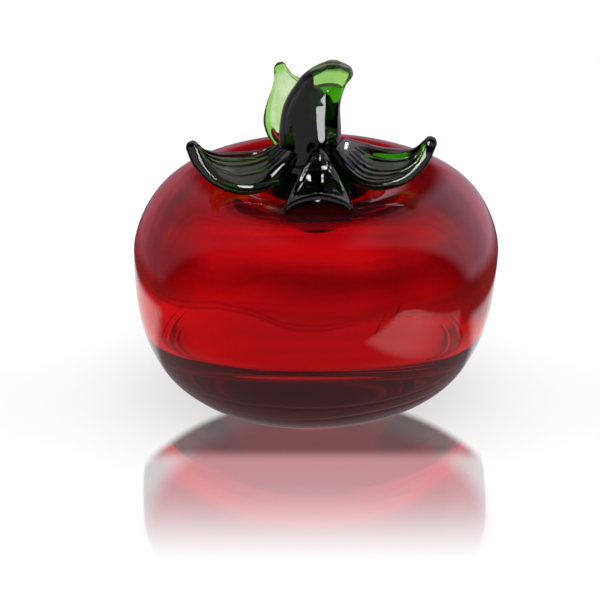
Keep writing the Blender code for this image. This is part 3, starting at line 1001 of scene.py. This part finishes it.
def floorGloss(tree, x, y, surface):
    # Glossy near the figurine, matt towards the front, inside an ellipse with a rosy pool in it
    middle, halfWidth, halfLength = floorLooks["glossPlace"]
    along = maths(tree, "MAXIMUM", maths(tree, "SUBTRACT", y, middle), 0.0)
    ellipse = maths(tree, "ADD", *(
        maths(tree, "POWER", maths(tree, "DIVIDE", place, half), 2.0)
        for place, half in ((along, halfLength), (x, halfWidth))))
    pool = ramp(tree, ellipse, *floorLooks["rosyEdge"])
    pool = product(tree, ramp(tree, y, *floorLooks["rosyStart"]), pool)
    surface = mixShaders(tree, pool, surface, emission(tree, 1.0, floorLooks["rosyLight"]))
    wet = maths(tree, "ADD", *(ramp(tree, y, *step) for step in floorLooks["glossSteps"]))
    wet = product(tree, wet, ramp(tree, ellipse, *floorLooks["glossEdge"]))
    gloss = tree.nodes.new("ShaderNodeBsdfAnisotropic")
    gloss.inputs["Color"].default_value = (1.0, 1.0, 1.0, 1.0)
    gloss.inputs["Roughness"].default_value = floorLooks["glossRoughness"]
    return mixShaders(tree, wet, surface, gloss.outputs["BSDF"])


def mirroredFloor(tree, x, y, distance):
    # In the glass it mirrors as a pale table: lit on the right and behind, dim in front
    close = ramp(tree, distance, *floorLooks["close"])
    right = None
    for slope, span in zip(floorLooks["patchLean"], floorLooks["patchSides"]):
        side = ramp(tree, maths(tree, "MULTIPLY_ADD", y, slope, x), *span)
        right = side if right is None else product(tree, right, side)
    for span in floorLooks["patchSpans"]:
        right = product(tree, right, ramp(tree, y, *span))
    toRight, toSides = floorLooks["behindSkew"]
    reach = maths(tree, "MULTIPLY_ADD", x, toRight, distance)
    reach = maths(tree, "MULTIPLY_ADD", maths(tree, "ABSOLUTE", x), toSides, reach)
    behind = ramp(tree, y, *floorLooks["behindStart"])
    behind = product(tree, behind, ramp(tree, reach, *floorLooks["behindReach"]))
    lit = maths(tree, "MAXIMUM", product(tree, right, floorLooks["patchLight"]), behind)
    return maths(tree, "MAXIMUM", maths(tree, "MAXIMUM", lit, close), floorLooks["leastMirrored"])


def makeFloor():
    half, level = 0.5 * floorLooks["size"], floorLooks["height"]
    mesh = bpy.data.meshes.new("floor")
    corners = [(-half, -half, level), (half, -half, level), (half, half, level), (-half, half, level)]
    mesh.from_pydata(corners, [], [(0, 1, 2, 3)])
    piece = addObject("floor", mesh)
    material, tree = newMaterial("floor_white")
    place, x, y = placeOf(tree)[:3]
    path = tree.nodes.new("ShaderNodeLightPath").outputs
    length = tree.nodes.new("ShaderNodeVectorMath")
    length.operation = "LENGTH"
    tree.links.new(place, length.inputs[0])
    distance = length.outputs["Value"]
    surface = floorGloss(tree, x, y, floorPaint(tree, y))
    mirrored = emission(tree, mirroredFloor(tree, x, y, distance))
    surface = mixShaders(tree, path["Is Glossy Ray"], surface, mirrored)
    # Through the glass it is as white as the background
    surface = mixShaders(tree, path["Is Transmission Ray"], surface, emission(tree, 1.0))
    # Far from the figurine the floor is clear, so that the white world shows
    clear = tree.nodes.new("ShaderNodeBsdfTransparent").outputs["BSDF"]
    surface = mixShaders(tree, ramp(tree, distance, *floorLooks["fade"]), surface, clear)
    tree.links.new(surface, tree.nodes["Material Output"].inputs["Surface"])
    mesh.materials.append(material)


# Spans of a direction, whose X, Y and Z run from -1 to 1
worldLooks = {
    "ambient": 0.78,
    # Mirrored in the glass: a white sweep that rises behind and overhead, brighter on the right
    "sweepSlope": (0.9, 0.4),
    "sweepSpan": (0.06, 0.24),
    "sides": (-0.2, 0.7, 0.30, 0.85),
    # A dark gap over the middle, between the sides and above the horizon
    "gapSides": (0.10, 0.32),
    "gapFoot": (0.3, 0.1),
    "overhead": (0.35, 0.80, 1.0, 0.45),
    "darkRoom": 0.012,
    "mirrorTint": (0.95, 0.79, 1.0),
    # Seen through the glass, the ceiling is dimmer
    "ceiling": (0.18, 0.48, 1.0, 0.12),
}


def makeWorld():
    # White to the camera and in the glossy floor; mirrored in the glass it is a white sweep behind
    # and overhead, and a dark room in front
    world = bpy.data.worlds.new("studio")
    bpy.context.scene.world = world
    world.use_nodes = True
    tree = world.node_tree
    tree.nodes.clear()
    output = tree.nodes.new("ShaderNodeOutputWorld")
    back = tree.nodes.new("ShaderNodeBackground")
    path = tree.nodes.new("ShaderNodeLightPath").outputs
    x, y, z = placeOf(tree, "Generated")[1:]
    alongY, alongZ = worldLooks["sweepSlope"]
    sweep = maths(tree, "ADD", product(tree, y, alongY), product(tree, z, alongZ))
    sweep = ramp(tree, sweep, *worldLooks["sweepSpan"])
    sides = ramp(tree, x, *worldLooks["sides"])
    gap = ramp(tree, maths(tree, "ABSOLUTE", x), *worldLooks["gapSides"])
    gap = maths(tree, "MAXIMUM", gap, ramp(tree, z, *worldLooks["gapFoot"]))
    mirrored = product(tree, sweep, sides, gap, ramp(tree, z, *worldLooks["overhead"]))
    mirrored = maths(tree, "ADD", mirrored, worldLooks["darkRoom"])
    mirrored = choose(tree, path["Is Singular Ray"], 1.0, mirrored)
    strength = choose(tree, path["Is Glossy Ray"], worldLooks["ambient"], mirrored)
    strength = choose(tree, path["Is Transmission Ray"], strength, ramp(tree, z, *worldLooks["ceiling"]))
    strength = choose(tree, path["Is Camera Ray"], strength, 1.0)
    tree.links.new(strength, back.inputs["Strength"])
    # Only what the glass mirrors is tinted, not what is seen through it
    tint = maths(tree, "SUBTRACT", path["Is Singular Ray"], path["Is Transmission Ray"])
    tint = maths(tree, "MAXIMUM", tint, 0.0)
    colour = tree.nodes.new("ShaderNodeMix")
    colour.data_type = "RGBA"
    tree.links.new(tint, colour.inputs[0])
    colour.inputs[6].default_value = (1.0, 1.0, 1.0, 1.0)
    colour.inputs[7].default_value = (*worldLooks["mirrorTint"], 1.0)
    tree.links.new(colour.outputs[2], back.inputs["Color"])
    tree.links.new(back.outputs["Background"], output.inputs["Surface"])


# Place, target, size, power
roofLight = ((0.05, 0.05, 0.6), (0.0, 0.0, 0.03), (0.5, 0.5), 1.2)

# Softboxes that only green pieces mirror: the piece ("all", or "rest" for all but the stem), the point
# they stand around, azimuth from the front towards the right, elevation and roll in degrees, distance,
# width, height, brightness (white paper is 1)
softboxes = {
    "front_fill": ("rest", (0.0, 0.0, 0.066), 0.0, -2.0, 0.0, 0.12, 0.70, 0.16, 0.70),
    "rear_fill": ("all", (0.0, 0.0, 0.066), 180.0, 48.0, 0.0, 0.30, 0.40, 0.22, 0.60),
    "stem_fill": ("stem", (-0.002, 0.0, 0.068), -36.0, 10.0, 0.0, 0.12, 0.76, 0.34, 0.46),
    "stem_strip": ("stem", (0.0012, -0.0061, 0.0690), 35.3, -5.0, 19.0, 0.0296, 0.0040, 0.023, 12.0),
    "left_tip": ("leaf_left", (-0.0261, -0.0130, 0.0624), 33.0, 42.0, 12.0, 0.0093, 0.0050, 0.006, 13.0),
    "left_edge": ("leaf_left", (-0.0155, -0.0155, 0.0559), 134.0, 71.0, 16.0, 0.010, 0.0026, 0.0028, 13.0),
    "left_root": ("leaf_left", (-0.0088, -0.0110, 0.0573), 180.0, 77.0, 48.0, 0.010, 0.0012, 0.0022, 13.0),
    "right_edge": ("leaf_right", (0.0218, -0.0136, 0.0596), -8.0, 41.0, 44.0, 0.012, 0.012, 0.016, 13.0),
    "right_root": ("leaf_right", (0.0069, -0.0029, 0.0613), 148.0, 34.0, -60.0, 0.008, 0.002, 0.0006, 19.0),
    "front_strip": ("leaf_front", (0.0018, -0.0119, 0.0594), 157.0, 71.5, 0.0, 0.0096, 0.0008, 0.0024, 14.0),
    "left_dot": ("leaf_front", (-0.0016, -0.0154, 0.0580), -178.0, 52.0, 0.0, 0.010, 0.0004, 0.0004, 13.0),
    "right_dot": ("leaf_front", (0.0013, -0.0166, 0.0578), 174.0, 46.0, 0.0, 0.010, 0.0003, 0.0003, 13.0),
    "front_lip": ("leaf_front", (0.0001, -0.0266, 0.0571), 1.0, -36.0, 0.0, 0.010, 0.0008, 0.0010, 13.0),
}


def makeLamp(name, place, target, size, power):
    data = bpy.data.lights.new(name, "AREA")
    data.shape = "RECTANGLE"
    data.size, data.size_y = size
    data.energy = power
    lamp = addObject(name, data)
    lamp.location = place
    lamp.rotation_euler = (Vector(target) - Vector(place)).to_track_quat("-Z", "Y").to_euler()
    lamp.visible_camera = False
    lamp.visible_transmission = False
    return lamp


def makeSoftboxes(pieces):
    # Seen only in mirrors: each is turned by its roll about the line to its target
    for name, box in softboxes.items():
        node, target, azimuth, elevation, roll, distance, width, height, brightness = box
        receivers = bpy.data.collections.new(name + "_pieces")
        for other, piece in pieces.items():
            if node in ("all", other) or (node == "rest" and other != "stem"):
                receivers.objects.link(piece)
        turn, rise, roll = math.radians(azimuth), math.radians(elevation), math.radians(roll)
        away = Vector((math.sin(turn) * math.cos(rise), -math.cos(turn) * math.cos(rise), math.sin(rise)))
        power = brightness * math.pi * width * height
        lamp = makeLamp(name, Vector(target) + distance * away, target, (width, height), power)
        level = (Vector((1.0, 0.0, 0.0)) - away.x * away).normalized()
        wide = math.cos(roll) * level + math.sin(roll) * away.cross(level)
        lamp.rotation_euler = Matrix((wide, away.cross(wide), away)).transposed().to_euler()
        lamp.visible_diffuse = False
        lamp.light_linking.receiver_collection = receivers


cameraPlace = {"lens": 110.0, "elevation": 24.0, "distance": 0.4394, "aim": (-0.00366, 0.0, 0.0213)}


def makeCamera():
    elevation = math.radians(cameraPlace["elevation"])
    away = np.array([0.0, -math.cos(elevation), math.sin(elevation)])
    data = bpy.data.cameras.new("camera")
    data.lens = cameraPlace["lens"]
    data.sensor_width = 36.0
    data.clip_start = 0.01
    camera = addObject("camera", data)
    camera.location = np.array(cameraPlace["aim"]) + cameraPlace["distance"] * away
    camera.rotation_euler = (0.5 * math.pi - elevation, 0.0, 0.0)
    bpy.context.scene.camera = camera


makeCamera()
makeFloor()
makeWorld()
roofLamp = makeLamp("roof_lamp", *roofLight)
roofLamp.visible_glossy = False
print("studio ready")

redMaterial = makeRedGlass()
greenMaterial = makeGreenGlass()

body = makeBody()
body.data.materials.append(redMaterial)
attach(body, "root")
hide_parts("body_shell")
print("body:", len(body.data.polygons), "faces")

greenPieces = {"calyx_hub": makeHub(), "stem": makeStem()}
for leafName, leafForm in leafForms.items():
    greenPieces[leafName] = makeLeaf(leafName, leafForm)
for node, piece in greenPieces.items():
    piece.data.materials.append(greenMaterial)
    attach(piece, "root")
    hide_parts(node)
    print(node + ":", len(piece.data.polygons), "faces")
makeSoftboxes(greenPieces)

scene = bpy.context.scene
scene.view_settings.view_transform = "Standard"
# Light turns back many times inside the thick base
bounces = 40
scene.cycles.max_bounces = bounces
scene.cycles.glossy_bounces = bounces
scene.cycles.transmission_bounces = bounces
bpy.context.view_layer.update()
